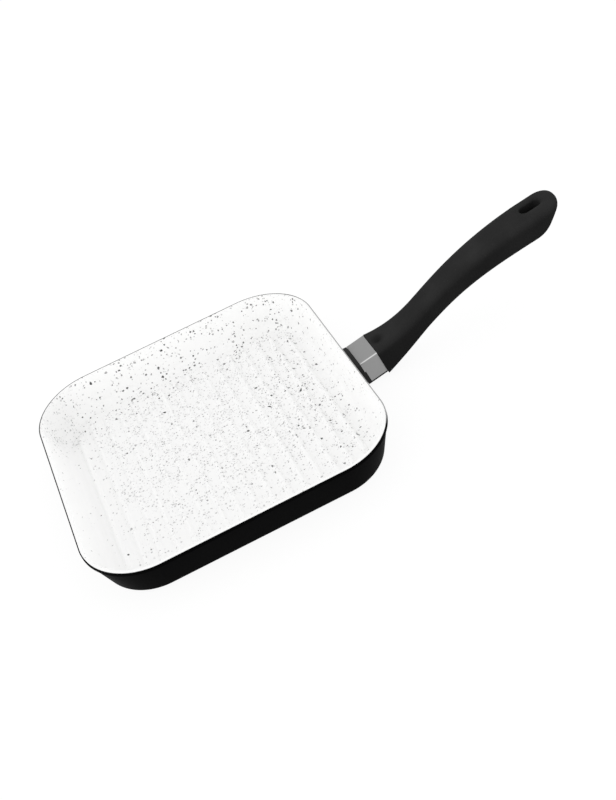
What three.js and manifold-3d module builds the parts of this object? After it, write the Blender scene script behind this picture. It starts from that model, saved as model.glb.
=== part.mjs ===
// Square grill pan: a ribbed aluminium pan with a pale non-stick coating, a black lug,
// a bent steel flame guard and a moulded handle with an S-shaped sweep.
// Sizes are millimetres. The origin is the middle of the base, +Z is up and the handle
// points along +X.

import * as THREE from 'three';
import { mergeVertices } from 'three/addons/utils/BufferGeometryUtils.js';
import Module from 'manifold-3d';

const degrees = THREE.MathUtils.degToRad;

// Pan
const RIM_SIDE = 260;
const RIM_CORNER_RADIUS = 54;
const PAN_HEIGHT = 36;
const WALL_DRAFT = degrees(17);
const WALL_THICKNESS = 3;
const FLOOR_THICKNESS = 4.5;
const BASE_FILLET = 8;
const FLOOR_FILLET = 9;
const RIM_CHAMFER = 0.5;

// Grill ribs on the floor
const RIB_PITCH = 13.7;
const RIB_WIDTH = 4.8;
const RIB_HEIGHT = 2.2;
const RIB_ROOT = 1.2;
const RIB_END_MARGIN = 7;
const RIB_SIDE_MARGIN = 5;

// Non-stick coating
const COATING_THICKNESS = 0.5;
const COATING_BED = 0.1;
const RIM_BARE_EDGE = 0.9;

// Clearance between pieces that are fitted together
const FIT = 0.3;

// Place of the handle: the middle of the flame guard's front face, and its upward tilt
const GUARD_FROM_RIM = 8.4;
const GUARD_DEPTH_BELOW_RIM = 21.7;
const HANDLE_TILT = degrees(11.2);

// Flame guard
const GUARD_WIDTH = 30;
const GUARD_THICKNESS = 24.2;
const GUARD_LENGTH = 16.8;
const GUARD_SHEET = 1.2;
const GUARD_BEND = 1.8;

// Lug
const LUG_ROOT_WIDTH = 34;
const LUG_ROOT_BOTTOM = 7;
const LUG_ROOT_TOP = 25;
const LUG_CORNER = 2;
const LUG_FOOT = 1.3;
const LUG_KEY_LENGTH = 1;
const LUG_KEY_HEIGHT = 13.6;
const LUG_CORE_WIDTH = 10;
const LUG_CORE_WEB = 4;
const LUG_CORE_ROOF = 6;
const LUG_CORE_WALL = 3;
const TONGUE_WIDTH = 18;
const TONGUE_THICKNESS = 13;
const TONGUE_LENGTH = 14;
const TONGUE_CORNER = 2;

// Screw, washers and threaded insert
const SCREW_RADIUS = 2.5;
const SCREW_TIP_RUNOUT = 4;
const SCREW_CHAMFER = 0.4;
const SCREW_HEAD_RADIUS = 4.6;
const SCREW_HEAD_HEIGHT = 3.2;
const FLAT_WASHER_RADIUS = 5;
const FLAT_WASHER_THICKNESS = 1;
const SPRING_WASHER_RADIUS = 4.4;
const SPRING_WASHER_THICKNESS = 1.3;
const SPRING_WASHER_GAP = 1;
const INSERT_RADIUS = 4.2;
const INSERT_LENGTH = 10;

// Handle grip: its sweep is one cubic curve, its section a rounded rectangle
const GRIP_LENGTH = 197.7;
const GRIP_RISE = 21.1;
const GRIP_RUN_OUT = 61;
const GRIP_CREST_REACH = 66.6;
const GRIP_CREST_RISE = 33.4;
const GRIP_FRONT_WIDTH = 32.6;
const GRIP_FRONT_THICKNESS = 26.8;
const GRIP_FRONT_CORNER = 3;
const GRIP_FRONT_DROP = 1.35;
const GRIP_NECK_WIDTH = 25.8;
const GRIP_NECK_THICKNESS = 19.5;
const GRIP_NECK_CORNER = 6;
const GRIP_NECK_FROM_FRONT = 51;
const GRIP_NECK_EASE = 1.7;
const GRIP_TAIL_WIDTH = 33.3;
const GRIP_TAIL_THICKNESS = 25.8;
const GRIP_TAIL_CORNER = 8.5;
const GRIP_TAIL_FROM_FRONT = 172.5;
const GRIP_TIP_LENGTH = 34;
const GRIP_TIP_SLANT = 23;
const GRIP_TIP_BULGE = 0.8;
const GRIP_TIP_EDGE = 8.6;
const GRIP_TIP_ROUND = 14.2;
const GRIP_TIP_SQUARENESS = 2.33;
const GRIP_TIP_FLAT = degrees(3);
const THUMB_DIP_FROM_FRONT = 7;
const THUMB_DIP_RADIUS = 10;
const THUMB_DIP_DEPTH = 2;
const SCREW_SEAT_DEPTH = 22;
const SCREW_POCKET_CLEARANCE = 0.8;
const SCREW_POCKET_LENGTH = 55;
const HANG_HOLE_LENGTH = 18;
const HANG_HOLE_WIDTH = 9.5;
const HANG_HOLE_FROM_TIP = 26;
const HANG_HOLE_LEAN = degrees(20);

// Facets
const CORNER_STEPS = 8;
const FILLET_STEPS = 4;
const RIB_END_STEPS = 3;
const RIB_ARC = [0, 35, 65, 86].map(degrees);
const SECTION_CORNER_STEPS = 4;
const GRIP_STEPS = 30;
const TIP_STEPS = 9;
const ROUND_SIDES = 24;
const HOLE_END_STEPS = 8;
const DIP_SIDES = 48;
const WELD = 1e-4;

const wasm = await Module();
wasm.setup();

// Solids: a closed geometry becomes a solid that can be joined and cut, and comes back

function solid(geometry) {
  const bare = geometry.clone();
  bare.deleteAttribute('normal');
  bare.deleteAttribute('uv');
  const merged = mergeVertices(bare, WELD);
  const mesh = new wasm.Mesh({
    numProp: 3,
    vertProperties: new Float32Array(merged.attributes.position.array),
    triVerts: new Uint32Array(merged.index.array),
  });
  return new wasm.Manifold(mesh);
}

function geometryOf(body) {
  const mesh = body.getMesh();
  const geometry = new THREE.BufferGeometry();
  geometry.setAttribute('position', new THREE.BufferAttribute(mesh.vertProperties, 3));
  geometry.setIndex(new THREE.BufferAttribute(mesh.triVerts, 1));
  geometry.computeVertexNormals();
  return geometry;
}

// A loft through rings that all have as many points. Each ring has two mirrored halves, and
// the ends are closed by a ladder of facets from one half to the other.
function loft(rings) {
  const count = rings[0].length;
  const positions = [];
  const index = [];
  rings.flat().forEach((point) => positions.push(point.x, point.y, point.z));
  for (let i = 0; i < rings.length - 1; i += 1) {
    for (let j = 0; j < count; j += 1) {
      const here = i * count + j;
      const next = i * count + ((j + 1) % count);
      index.push(here, next, here + count);
      index.push(next, next + count, here + count);
    }
  }
  const lastRing = (rings.length - 1) * count;
  for (let step = 0; step < count / 2 - 1; step += 1) {
    const right = (count / 4 - 1 - step + count) % count;
    const rightNext = (right - 1 + count) % count;
    const left = count / 4 + step;
    const leftNext = left + 1;
    index.push(left, right, leftNext);
    index.push(leftNext, right, rightNext);
    index.push(lastRing + right, lastRing + left, lastRing + leftNext);
    index.push(lastRing + right, lastRing + leftNext, lastRing + rightNext);
  }
  const geometry = new THREE.BufferGeometry();
  geometry.setAttribute('position', new THREE.Float32BufferAttribute(positions, 3));
  geometry.setIndex(index);
  geometry.computeVertexNormals();
  return geometry;
}

// The four rounded corners of a rectangle, counter-clockwise, as [across, up] pairs
function roundedRectangle(width, height, radius, steps) {
  const points = [];
  const middleX = width / 2 - radius;
  const middleY = height / 2 - radius;
  const corners = [[1, 1], [-1, 1], [-1, -1], [1, -1]];
  corners.forEach(([signX, signY], quarter) => {
    for (let i = 0; i <= steps; i += 1) {
      const angle = (quarter + i / steps) * (Math.PI / 2);
      const x = signX * middleX + radius * Math.cos(angle);
      const y = signY * middleY + radius * Math.sin(angle);
      points.push([x, y]);
    }
  });
  return points;
}

// An upright prism turned so that its outline lies across the handle and it runs along +X
function alongHandle(shape, from, to) {
  const prism = new THREE.ExtrudeGeometry(shape, { depth: to - from, bevelEnabled: false });
  const turn = new THREE.Matrix4().makeBasis(
    new THREE.Vector3(0, 1, 0),
    new THREE.Vector3(0, 0, 1),
    new THREE.Vector3(1, 0, 0),
  );
  prism.applyMatrix4(turn);
  return prism.translate(from, 0, 0);
}

function outlineShape(points) {
  return new THREE.Shape(points.map(([x, y]) => new THREE.Vector2(x, y)));
}

function block(width, bottom, top, from, to) {
  const corners = [[-width / 2, bottom], [width / 2, bottom], [width / 2, top], [-width / 2, top]];
  return alongHandle(outlineShape(corners), from, to);
}

function rod(radius, from, to) {
  const cylinder = new THREE.CylinderGeometry(radius, radius, to - from, ROUND_SIDES);
  cylinder.rotateZ(-Math.PI / 2);
  return cylinder.translate((from + to) / 2, 0, 0);
}

function ring(inner, outer, from, to) {
  const profile = [[inner, from], [outer, from], [outer, to], [inner, to], [inner, from]];
  const lathe = new THREE.LatheGeometry(
    profile.map(([radius, along]) => new THREE.Vector2(radius, along)),
    ROUND_SIDES,
  );
  return lathe.rotateZ(-Math.PI / 2);
}

// Pan: a profile of half-widths and heights carried round a square with rounded corners

const CORNER_CENTRE = RIM_SIDE / 2 - RIM_CORNER_RADIUS;
const DRAFT_RUN = Math.tan(WALL_DRAFT);
const INNER_TOP = RIM_SIDE / 2 - WALL_THICKNESS / Math.cos(WALL_DRAFT);
const BODY_TOP = PAN_HEIGHT - COATING_THICKNESS - COATING_BED;
const BEAD_TOP = PAN_HEIGHT - COATING_BED;
const RIM_EDGE_Z = BEAD_TOP - RIM_CHAMFER;

function outerHalfAt(z) {
  return RIM_SIDE / 2 - (RIM_EDGE_Z - z) * DRAFT_RUN;
}

function squareRing([half, z]) {
  const outline = roundedRectangle(2 * half, 2 * half, half - CORNER_CENTRE, CORNER_STEPS);
  return outline.map(([x, y]) => new THREE.Vector3(x, y, z));
}

// From the flat floor, round the fillet and up the sloping wall to a height
function bowlProfile(halfAtTop, floorZ, radius, topZ) {
  const wallAt = (z) => halfAtTop - (RIM_EDGE_Z - z) * DRAFT_RUN;
  const centreZ = floorZ + radius;
  const centreHalf = wallAt(centreZ) - radius / Math.cos(WALL_DRAFT);
  const profile = [];
  for (let i = 0; i <= FILLET_STEPS; i += 1) {
    const angle = THREE.MathUtils.lerp(Math.PI / 2, WALL_DRAFT, i / FILLET_STEPS);
    const half = centreHalf + radius * Math.cos(angle);
    profile.push([half, centreZ - radius * Math.sin(angle)]);
  }
  profile.push([wallAt(topZ), topZ]);
  return profile;
}

// The inner face of the pan, moved inwards by a layer on it
function innerProfile(layer, topZ) {
  const halfAtTop = INNER_TOP - layer / Math.cos(WALL_DRAFT);
  return bowlProfile(halfAtTop, FLOOR_THICKNESS + layer, FLOOR_FILLET - layer, topZ);
}

function floorHalf() {
  return innerProfile(0, BODY_TOP)[0][0];
}

// Half the length of the rib at a distance from the middle, inside the floor's rounded outline
function ribHalfLength(x) {
  const beyond = Math.max(Math.abs(x) - CORNER_CENTRE, 0);
  const floorCorner = floorHalf() - CORNER_CENTRE;
  return CORNER_CENTRE + Math.sqrt(floorCorner ** 2 - beyond ** 2) - RIB_END_MARGIN;
}

function ribPositions() {
  const room = 2 * (floorHalf() - RIB_SIDE_MARGIN) - RIB_WIDTH;
  const count = Math.floor(room / RIB_PITCH) + 1;
  return Array.from({ length: count }, (_, i) => (i - (count - 1) / 2) * RIB_PITCH);
}

// A rib with an arched section and round ends, thickened by a layer on it
function rib(x, layer, rootZ) {
  const straight = ribHalfLength(x) - RIB_WIDTH / 2;
  const capsule = (radius, z) => [1, -1].flatMap((end) => {
    const points = [];
    for (let i = 0; i <= RIB_END_STEPS; i += 1) {
      const angle = (i / RIB_END_STEPS) * Math.PI + (end < 0 ? Math.PI : 0);
      const y = end * straight + radius * Math.sin(angle);
      points.push(new THREE.Vector3(x + radius * Math.cos(angle), y, z));
    }
    return points;
  });
  const halfWidth = RIB_WIDTH / 2 + layer;
  const height = RIB_HEIGHT + layer;
  const arch = RIB_ARC.map((angle) => {
    const z = FLOOR_THICKNESS + height * Math.sin(angle);
    return capsule(halfWidth * Math.cos(angle), z);
  });
  return loft([capsule(halfWidth, rootZ), ...arch.slice(rootZ < FLOOR_THICKNESS ? 0 : 1)]);
}

function withRibs(body, layer, rootZ) {
  return ribPositions().reduce((sum, x) => sum.add(solid(rib(x, layer, rootZ))), body);
}

function withoutRibs(body, layer, rootZ) {
  return ribPositions().reduce((sum, x) => sum.subtract(solid(rib(x, layer, rootZ))), body);
}

// The rim carries a narrow bead that stands up beside the coating's lip
function panBody() {
  const outer = bowlProfile(RIM_SIDE / 2, 0, BASE_FILLET, RIM_EDGE_Z);
  const beadOuter = RIM_SIDE / 2 - RIM_CHAMFER;
  const beadInner = RIM_SIDE / 2 - RIM_BARE_EDGE + COATING_BED;
  const bead = [[beadOuter, BEAD_TOP], [beadInner, BEAD_TOP], [beadInner, BODY_TOP]];
  const inner = innerProfile(0, BODY_TOP).reverse();
  const shell = loft([...outer, ...bead, ...inner].map(squareRing));
  return geometryOf(withRibs(solid(shell), 0, FLOOR_THICKNESS - RIB_ROOT));
}

// The coating lines the inside and ends in a lip over the rim
function nonstickCoating() {
  const surface = COATING_BED + COATING_THICKNESS;
  const lipBottom = BODY_TOP + COATING_BED;
  const lipHalf = RIM_SIDE / 2 - RIM_BARE_EDGE;
  const under = innerProfile(COATING_BED, lipBottom);
  const over = innerProfile(surface, PAN_HEIGHT).reverse();
  const lip = [[lipHalf, lipBottom], [lipHalf, PAN_HEIGHT]];
  const lining = solid(loft([...under, ...lip, ...over].map(squareRing)));
  const rootZ = FLOOR_THICKNESS + COATING_BED + COATING_THICKNESS / 2;
  const raised = withRibs(lining, surface, rootZ);
  return geometryOf(withoutRibs(raised, COATING_BED, FLOOR_THICKNESS - RIB_ROOT));
}

// Handle: everything below is built along +X from the flame guard's front face

const handlePlace = new THREE.Matrix4()
  .makeRotationY(-HANDLE_TILT)
  .setPosition(RIM_SIDE / 2 + GUARD_FROM_RIM, 0, PAN_HEIGHT - GUARD_DEPTH_BELOW_RIM);
const handlePlaceInverse = handlePlace.clone().invert();

const SEAT_END = GUARD_LENGTH + FIT;
const GRIP_FRONT = GUARD_LENGTH + 2 * FIT;
const TONGUE_END = SEAT_END + TONGUE_LENGTH;
const SCREW_SEAT = GRIP_FRONT + SCREW_SEAT_DEPTH;
const FLAT_WASHER_AT = SCREW_SEAT + FIT;
const SPRING_WASHER_AT = FLAT_WASHER_AT + FLAT_WASHER_THICKNESS + FIT;
const SCREW_HEAD_AT = SPRING_WASHER_AT + SPRING_WASHER_THICKNESS + FIT;
const INSERT_AT = TONGUE_END - INSERT_LENGTH;
const SCREW_TIP = INSERT_AT - SCREW_TIP_RUNOUT;
const SCREW_BORE = SCREW_RADIUS + FIT;
const GUARD_BOTTOM = -GUARD_THICKNESS / 2;
const GUARD_TOP = GUARD_THICKNESS / 2;

function sectionRing(width, thickness, radius, place) {
  const outline = roundedRectangle(width, thickness, radius, SECTION_CORNER_STEPS);
  return outline.map(([across, up]) => place(across, up));
}

// The lug's root follows the sloping wall of the pan, a clearance away from it
function lugRoot() {
  const height = LUG_ROOT_TOP - LUG_ROOT_BOTTOM;
  const middle = (LUG_ROOT_TOP + LUG_ROOT_BOTTOM) / 2;
  return sectionRing(LUG_ROOT_WIDTH, height, LUG_CORNER, (across, up) => {
    const z = middle + up;
    const x = outerHalfAt(z) + FIT / Math.cos(WALL_DRAFT);
    return new THREE.Vector3(x, across, z).applyMatrix4(handlePlaceInverse);
  });
}

function handleLug() {
  const shoulder = sectionRing(GUARD_WIDTH, GUARD_THICKNESS, LUG_CORNER, (across, up) => (
    new THREE.Vector3(0, across, up)
  ));
  const root = lugRoot();
  const seatWidth = GUARD_WIDTH - 2 * (GUARD_SHEET + FIT);
  const seatTop = GUARD_TOP - GUARD_SHEET - FIT;
  const footTop = GUARD_BOTTOM + LUG_FOOT;
  const keyTop = GUARD_BOTTOM + LUG_KEY_HEIGHT;
  const overlap = LUG_CORNER;
  const tongueOutline = roundedRectangle(
    TONGUE_WIDTH,
    TONGUE_THICKNESS,
    TONGUE_CORNER,
    SECTION_CORNER_STEPS,
  );
  const tongue = alongHandle(outlineShape(tongueOutline), SEAT_END - overlap, TONGUE_END);
  const joined = solid(loft([root, shoulder]))
    .add(solid(block(seatWidth, GUARD_BOTTOM, seatTop, -overlap, SEAT_END)))
    .add(solid(block(GUARD_WIDTH, GUARD_BOTTOM, footTop, -overlap, SEAT_END)))
    .add(solid(block(GUARD_WIDTH, GUARD_BOTTOM, keyTop, -overlap, LUG_KEY_LENGTH)))
    .add(solid(tongue));
  const rootReach = Math.max(...root.map((point) => point.x));
  const coreFrom = rootReach + LUG_CORE_WALL;
  const coreSide = (LUG_CORE_WIDTH + LUG_CORE_WEB) / 2;
  const below = GUARD_BOTTOM - LUG_ROOT_TOP;
  const core = block(LUG_CORE_WIDTH, below, GUARD_TOP - LUG_CORE_ROOF, coreFrom, -LUG_CORE_WALL);
  const cored = [coreSide, -coreSide].reduce((body, side) => (
    body.subtract(solid(core.clone().translate(0, side, 0)))
  ), joined);
  return geometryOf(cored
    .subtract(solid(rod(INSERT_RADIUS + FIT, INSERT_AT - FIT, TONGUE_END + FIT)))
    .subtract(solid(rod(SCREW_BORE, SCREW_TIP - FIT, TONGUE_END))));
}

// A bent sheet that stands on the lug's foot, notched at the front over the lug's keys
function flameGuard() {
  const bottom = GUARD_BOTTOM + LUG_FOOT + FIT;
  const half = GUARD_WIDTH / 2;
  const innerHalf = half - GUARD_SHEET;
  const innerTop = GUARD_TOP - GUARD_SHEET;
  const innerBend = GUARD_BEND - GUARD_SHEET;
  const bendHalf = half - GUARD_BEND;
  const bendTop = GUARD_TOP - GUARD_BEND;
  const sheet = new THREE.Shape();
  sheet.moveTo(half, bottom);
  sheet.absarc(bendHalf, bendTop, GUARD_BEND, 0, Math.PI / 2, false);
  sheet.absarc(-bendHalf, bendTop, GUARD_BEND, Math.PI / 2, Math.PI, false);
  sheet.lineTo(-half, bottom);
  sheet.lineTo(-innerHalf, bottom);
  sheet.absarc(-bendHalf, bendTop, innerBend, Math.PI, Math.PI / 2, true);
  sheet.absarc(bendHalf, innerTop - innerBend, innerBend, Math.PI / 2, 0, true);
  sheet.lineTo(innerHalf, bottom);
  const cover = alongHandle(sheet, FIT, SEAT_END);
  const keyTop = GUARD_BOTTOM + LUG_KEY_HEIGHT + FIT;
  const notch = block(GUARD_WIDTH + 2 * FIT, GUARD_BOTTOM, keyTop, 0, LUG_KEY_LENGTH + FIT);
  return geometryOf(solid(cover).subtract(solid(notch)));
}

function threadedInsert() {
  return ring(SCREW_BORE, INSERT_RADIUS, INSERT_AT, TONGUE_END);
}

function flatWasher() {
  return ring(SCREW_BORE, FLAT_WASHER_RADIUS, FLAT_WASHER_AT, FLAT_WASHER_AT + FLAT_WASHER_THICKNESS);
}

function springWasher() {
  const end = SPRING_WASHER_AT + SPRING_WASHER_THICKNESS;
  const whole = solid(ring(SCREW_BORE, SPRING_WASHER_RADIUS, SPRING_WASHER_AT, end));
  const slit = block(SPRING_WASHER_GAP, 0, 2 * SPRING_WASHER_RADIUS, SPRING_WASHER_AT - FIT, end + FIT);
  return geometryOf(whole.subtract(solid(slit)));
}

function handleScrew() {
  const dome = SCREW_HEAD_HEIGHT / 2;
  const profile = [
    [0, SCREW_TIP],
    [SCREW_RADIUS - SCREW_CHAMFER, SCREW_TIP],
    [SCREW_RADIUS, SCREW_TIP + SCREW_CHAMFER],
    [SCREW_RADIUS, SCREW_HEAD_AT],
    [SCREW_HEAD_RADIUS, SCREW_HEAD_AT],
    [SCREW_HEAD_RADIUS, SCREW_HEAD_AT + dome],
    [SCREW_HEAD_RADIUS - dome, SCREW_HEAD_AT + SCREW_HEAD_HEIGHT],
    [0, SCREW_HEAD_AT + SCREW_HEAD_HEIGHT],
  ];
  const lathe = new THREE.LatheGeometry(
    profile.map(([radius, along]) => new THREE.Vector2(radius, along)),
    ROUND_SIDES,
  );
  return lathe.rotateZ(-Math.PI / 2);
}

// Grip

const gripSweep = new THREE.CubicBezierCurve(
  new THREE.Vector2(GRIP_FRONT, 0),
  new THREE.Vector2(GRIP_FRONT + GRIP_RUN_OUT, 0),
  new THREE.Vector2(GRIP_FRONT + GRIP_CREST_REACH, GRIP_CREST_RISE),
  new THREE.Vector2(GRIP_FRONT + GRIP_LENGTH, GRIP_RISE),
);

// A value that falls from the front to the neck and swells again to the tail
function alongGrip(share, front, neck, tail) {
  const fromFront = share * gripSweep.getLength();
  if (fromFront < GRIP_NECK_FROM_FRONT) {
    const left = 1 - fromFront / GRIP_NECK_FROM_FRONT;
    return THREE.MathUtils.lerp(neck, front, left ** GRIP_NECK_EASE);
  }
  const { smoothstep } = THREE.MathUtils;
  const swollen = smoothstep(fromFront, GRIP_NECK_FROM_FRONT, GRIP_TAIL_FROM_FRONT);
  return THREE.MathUtils.lerp(neck, tail, swollen);
}

function gripSection(share) {
  return {
    width: alongGrip(share, GRIP_FRONT_WIDTH, GRIP_NECK_WIDTH, GRIP_TAIL_WIDTH),
    thickness: alongGrip(share, GRIP_FRONT_THICKNESS, GRIP_NECK_THICKNESS, GRIP_TAIL_THICKNESS),
    corner: alongGrip(share, GRIP_FRONT_CORNER, GRIP_NECK_CORNER, GRIP_TAIL_CORNER),
    drop: alongGrip(share, GRIP_FRONT_DROP, 0, 0),
  };
}

// The sweep's frame at a share of its length: place, direction and the way up
function gripFrame(share) {
  const place = gripSweep.getPointAt(share);
  const tangent = gripSweep.getTangentAt(share);
  return {
    place: new THREE.Vector3(place.x, 0, place.y),
    along: new THREE.Vector3(tangent.x, 0, tangent.y),
    up: new THREE.Vector3(-tangent.y, 0, tangent.x),
  };
}

// The tip is straight: it keeps the direction of the sweep at its start
const TIP_SHARE = 1 - GRIP_TIP_LENGTH / gripSweep.getLength();

// The end is round seen from above and slants back towards the underside
function tipRings() {
  const { place, along, up } = gripFrame(TIP_SHARE);
  const { width, thickness, corner } = gripSection(TIP_SHARE);
  const top = thickness / 2;
  const reach = (height) => {
    const edge = Math.max(height - (top - GRIP_TIP_EDGE), 0);
    const rounding = GRIP_TIP_EDGE - Math.sqrt(GRIP_TIP_EDGE ** 2 - edge ** 2);
    const fallen = (top - height) / thickness;
    const bulge = GRIP_TIP_BULGE * Math.sin(Math.PI * fallen);
    return GRIP_TIP_LENGTH - GRIP_TIP_SLANT * fallen + bulge - rounding;
  };
  const power = 2 / GRIP_TIP_SQUARENESS;
  const rings = [];
  for (let i = 0; i <= TIP_STEPS; i += 1) {
    const angle = (i / TIP_STEPS) * (Math.PI / 2 - GRIP_TIP_FLAT);
    const back = GRIP_TIP_ROUND * (1 - Math.sin(angle) ** power);
    const squeeze = Math.cos(angle) ** power;
    rings.push(sectionRing(width, thickness, corner, (across, height) => (
      place.clone()
        .addScaledVector(along, reach(height) - back)
        .addScaledVector(up, height)
        .add(new THREE.Vector3(0, across * squeeze, 0))
    )));
  }
  return rings;
}

function gripRings() {
  const rings = [];
  for (let i = 0; i < GRIP_STEPS; i += 1) {
    const share = (i / GRIP_STEPS) * TIP_SHARE;
    const { place, up } = gripFrame(share);
    const { width, thickness, corner, drop } = gripSection(share);
    rings.push(sectionRing(width, thickness, corner, (across, height) => (
      place.clone().addScaledVector(up, height - drop).setY(across)
    )));
  }
  return [...rings, ...tipRings()];
}

// A ball that leaves a shallow dip for the thumb in the grip's top
function thumbDip() {
  const share = THUMB_DIP_FROM_FRONT / gripSweep.getLength();
  const { place, up } = gripFrame(share);
  const { thickness, drop } = gripSection(share);
  const height = thickness / 2 - drop + THUMB_DIP_RADIUS - THUMB_DIP_DEPTH;
  const centre = place.clone().addScaledVector(up, height);
  const ball = new THREE.SphereGeometry(THUMB_DIP_RADIUS, 2 * DIP_SIDES, DIP_SIDES);
  return ball.translate(centre.x, centre.y, centre.z);
}

// An oblong hole that starts in the top face and leans with the slanted end
function hangHole() {
  const { place, along, up } = gripFrame(TIP_SHARE);
  const radius = HANG_HOLE_WIDTH / 2;
  const endCentre = HANG_HOLE_LENGTH / 2 - radius;
  const outline = new THREE.Shape();
  outline.absarc(endCentre, 0, radius, -Math.PI / 2, Math.PI / 2, false);
  outline.absarc(-endCentre, 0, radius, Math.PI / 2, (3 * Math.PI) / 2, false);
  const through = 2 * GRIP_TAIL_THICKNESS;
  const prism = new THREE.ExtrudeGeometry(outline, {
    depth: 2 * through,
    bevelEnabled: false,
    curveSegments: HOLE_END_STEPS,
  });
  prism.translate(0, 0, -through);
  prism.rotateY(HANG_HOLE_LEAN);
  const turn = new THREE.Matrix4().makeBasis(along, new THREE.Vector3(0, 1, 0), up);
  const topCentre = place.clone()
    .addScaledVector(along, GRIP_TIP_LENGTH - HANG_HOLE_FROM_TIP)
    .addScaledVector(up, GRIP_TAIL_THICKNESS / 2);
  return prism.applyMatrix4(turn.setPosition(topCentre));
}

function handleGrip() {
  const socketOutline = roundedRectangle(
    TONGUE_WIDTH + 2 * FIT,
    TONGUE_THICKNESS + 2 * FIT,
    TONGUE_CORNER + FIT,
    SECTION_CORNER_STEPS,
  );
  const socket = alongHandle(outlineShape(socketOutline), GRIP_FRONT - FIT, TONGUE_END + FIT);
  const pocketRadius = FLAT_WASHER_RADIUS + SCREW_POCKET_CLEARANCE;
  return geometryOf(solid(loft(gripRings()))
    .subtract(solid(socket))
    .subtract(solid(rod(SCREW_BORE, TONGUE_END, SCREW_SEAT + FIT)))
    .subtract(solid(rod(pocketRadius, SCREW_SEAT, SCREW_SEAT + SCREW_POCKET_LENGTH)))
    .subtract(solid(thumbDip()))
    .subtract(solid(hangHole())));
}

// Materials

const finishes = {
  exterior: { color: 0x0c0c0d, roughness: 0.5, metalness: 0.1 },
  coating: { color: 0xf3f2ef, roughness: 0.35, metalness: 0 },
  lug: { color: 0x1c1c1d, roughness: 0.55, metalness: 0.1 },
  guard: { color: 0x9a9a9a, roughness: 0.35, metalness: 1 },
  grip: { color: 0x232323, roughness: 0.6, metalness: 0 },
  steel: { color: 0xb8babd, roughness: 0.3, metalness: 1 },
};

function piece(name, geometry, finish) {
  const mesh = new THREE.Mesh(geometry, new THREE.MeshStandardMaterial(finishes[finish]));
  mesh.name = name;
  return mesh;
}

const pan = new THREE.Group();
pan.add(piece('pan_body', panBody(), 'exterior'));
pan.add(piece('nonstick_coating', nonstickCoating(), 'coating'));

const handle = new THREE.Group();
handle.position.setFromMatrixPosition(handlePlace);
handle.quaternion.setFromRotationMatrix(handlePlace);
handle.add(piece('handle_lug', handleLug(), 'lug'));
handle.add(piece('threaded_insert', threadedInsert(), 'steel'));
handle.add(piece('flame_guard', flameGuard(), 'guard'));
handle.add(piece('handle_grip', handleGrip(), 'grip'));
handle.add(piece('flat_washer', flatWasher(), 'steel'));
handle.add(piece('spring_washer', springWasher(), 'steel'));
handle.add(piece('handle_screw', handleScrew(), 'steel'));

const grillPan = new THREE.Group();
grillPan.add(pan, handle);

export default grillPan;
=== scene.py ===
import math
from contextlib import contextmanager
from functools import partial

import bmesh
import bpy
import numpy as np
from bpy.props import FloatProperty, FloatVectorProperty, IntProperty, PointerProperty
from mathutils import Matrix, Vector


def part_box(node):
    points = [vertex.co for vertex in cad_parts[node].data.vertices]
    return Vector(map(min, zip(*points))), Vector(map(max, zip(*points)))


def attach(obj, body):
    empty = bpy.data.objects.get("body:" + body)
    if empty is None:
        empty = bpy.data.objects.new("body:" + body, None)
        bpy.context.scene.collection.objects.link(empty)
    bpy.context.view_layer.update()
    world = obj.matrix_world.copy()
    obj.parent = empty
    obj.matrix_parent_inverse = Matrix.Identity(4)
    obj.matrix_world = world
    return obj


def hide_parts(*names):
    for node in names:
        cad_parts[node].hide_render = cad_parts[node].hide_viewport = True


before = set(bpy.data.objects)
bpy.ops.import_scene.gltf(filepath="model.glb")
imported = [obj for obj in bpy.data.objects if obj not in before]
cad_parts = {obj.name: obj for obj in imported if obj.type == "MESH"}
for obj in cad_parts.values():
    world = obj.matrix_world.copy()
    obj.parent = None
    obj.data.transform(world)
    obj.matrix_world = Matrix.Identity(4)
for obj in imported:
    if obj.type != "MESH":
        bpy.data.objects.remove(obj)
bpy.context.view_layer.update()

bl_info = {
    "name": "Grill Pan",
    "version": (1, 0, 0),
    "blender": (4, 5, 0),
    "location": "View3D > Sidebar > Grill Pan",
    "description": "Square grill pan with ribs, a speckled lining and an S-curved handle",
    "category": "Object",
}

MM = 0.001
BODY_LOW, BODY_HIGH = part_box("pan_body")
_, LINING_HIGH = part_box("nonstick_coating")

# Pan: what the layers and edges measure
WALL = 3.0 * MM
FLOOR = 4.5 * MM
BASE_FILLET = 8.0 * MM
FLOOR_FILLET = 9.0 * MM
RIM_ROUND = 0.5 * MM
LEDGE_ROUND = 0.4 * MM
BEAD_ROUND = 0.12 * MM
BEAD_EDGE = 0.3 * MM
RIM_BAND = 3.0 * MM
BAND_EDGE = 0.25 * MM
LINING_BED = 0.1 * MM
LINING_DEPTH = 0.5 * MM
LIP_INNER_ROUND = 0.7 * MM
LIP_OUTER_ROUND = 0.22 * MM
# Where the painted highlight along the rim's edge, on the handle's side, fades in
RIM_HIGHLIGHT_BESIDE = (121.0 * MM, 128.5 * MM)
RIM_HIGHLIGHT_BELOW_TOP = (0.6 * MM, 0.1 * MM)
FILLET_STEPS = 12
ROUND_STEPS = 5

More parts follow.
